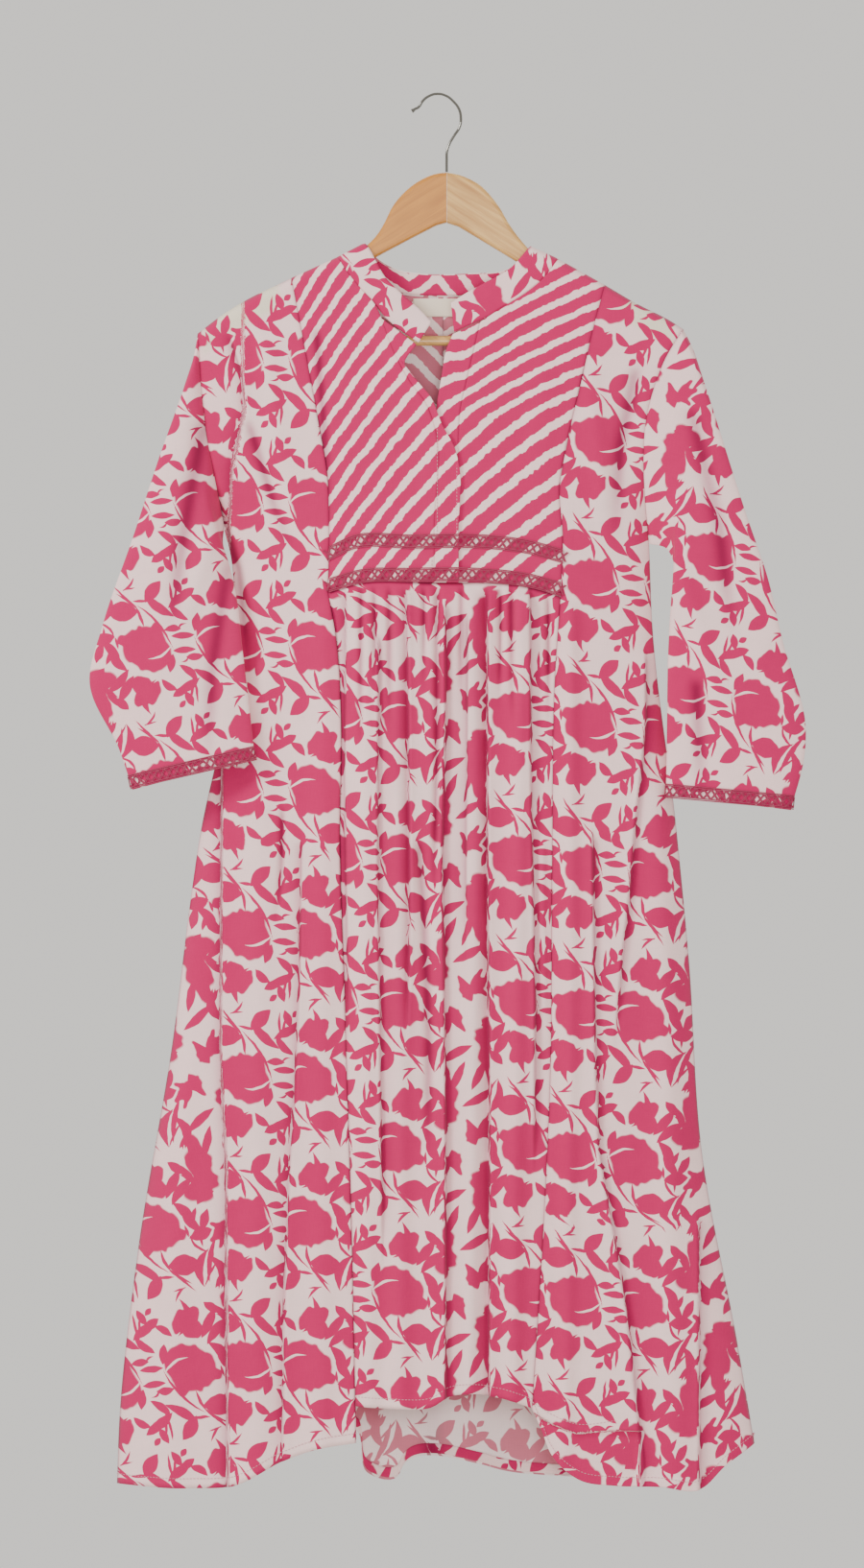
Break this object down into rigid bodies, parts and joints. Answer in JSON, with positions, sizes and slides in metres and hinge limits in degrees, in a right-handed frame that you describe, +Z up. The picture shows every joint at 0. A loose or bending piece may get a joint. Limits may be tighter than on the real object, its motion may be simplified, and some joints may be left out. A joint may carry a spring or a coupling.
{
  "type": "kurta tunic dress on a wooden hanger",
  "caption": "Long block-printed cotton kurta tunic dress with striped yoke, open band collar, lace insertions and three-quarter sleeves, hung flat on a wooden hanger with a wire hook",
  "frame": {"origin": "top of the inside of the hanger's hook, where a nail or rail touches it", "axes": "+Z up, -Y is the front of the dress, +X is to the right seen from the front"},
  "size_m": [0.6644, 0.0724, 1.2966],
  "materials": {
    "floral_cotton": "thin matte white cotton with a rose-pink floral block print",
    "striped_cotton": "thin matte white cotton with broad rose-pink hand-drawn stripes",
    "lace": "corded rose lace with a crossed lattice",
    "label": "plain cream woven label, left blank",
    "dark_wood": "satin varnished orange-brown wood",
    "pale_wood": "satin varnished pale wood with a darker streak",
    "chrome": "polished plated wire"
  },
  "bodies": {
    "root": {"front_centre": "floral_cotton", "front_side_left": "floral_cotton", "front_side_right": "floral_cotton", "back_body": "floral_cotton", "sleeve_left": "floral_cotton", "sleeve_right": "floral_cotton", "collar_band": "floral_cotton", "yoke_front_left": "striped_cotton", "yoke_front_right": "striped_cotton", "placket_over": "striped_cotton", "placket_under": "striped_cotton", "back_yoke_left": "striped_cotton", "back_yoke_right": "striped_cotton", "collar_facing": "striped_cotton", "lace_yoke_upper": "lace", "lace_yoke_lower": "lace", "lace_cuff_left": "lace", "lace_cuff_right": "lace", "label": "label", "hanger_arm_left": "dark_wood", "hanger_arm_right": "pale_wood", "hanger_bar": "pale_wood", "hanger_hook": "chrome"}
  },
  "joints": []
}
